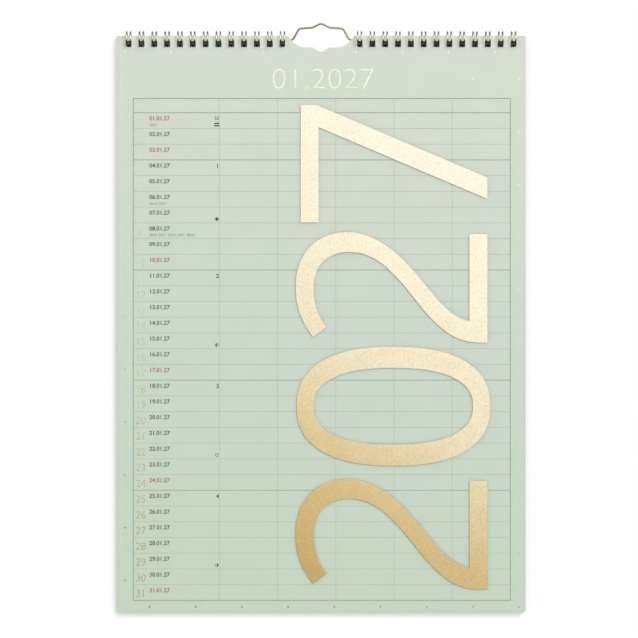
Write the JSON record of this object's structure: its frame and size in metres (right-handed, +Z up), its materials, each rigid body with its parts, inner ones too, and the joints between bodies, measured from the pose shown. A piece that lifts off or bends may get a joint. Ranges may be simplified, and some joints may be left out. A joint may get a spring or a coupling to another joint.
{
  "type": "wall calendar",
  "caption": "Wire-bound wall planner: a clear cover that turns on twin-loop wires, a punched page block, a backing board and a folding wire hanger.",
  "frame": {"origin": "the underside of the hanger's crest, where the nail or hook carries it", "axes": "+X to the reader's right along the top edge, +Y back towards the wall, +Z up, so the printed front faces -Y"},
  "size_m": [0.27, 0.0102, 0.3897],
  "materials": {
    "clear_film": "gloss",
    "page_paper": "matte",
    "grey_board": "matte",
    "coated_wire": "satin"
  },
  "bodies": {
    "hanger": {"hanger": "coated_wire"},
    "calendar": {"binding_wire_left": "coated_wire", "binding_wire_right": "coated_wire", "page_block": "page_paper", "backing_board": "grey_board"},
    "cover": {"front_cover": "clear_film"}
  },
  "joints": [
    {"name": "hanger_fold", "type": "hinge", "parent": "hanger", "child": "calendar", "pos_m": [0, 0, -0.00988], "axis": [-1, 0, 0], "range_deg": [-175, 120]},
    {"name": "cover_turn", "type": "hinge", "parent": "calendar", "child": "cover", "pos_m": [0, -0.00462, -0.00851], "axis": [-1, 0, 0], "range_deg": [0, 190]}
  ]
}
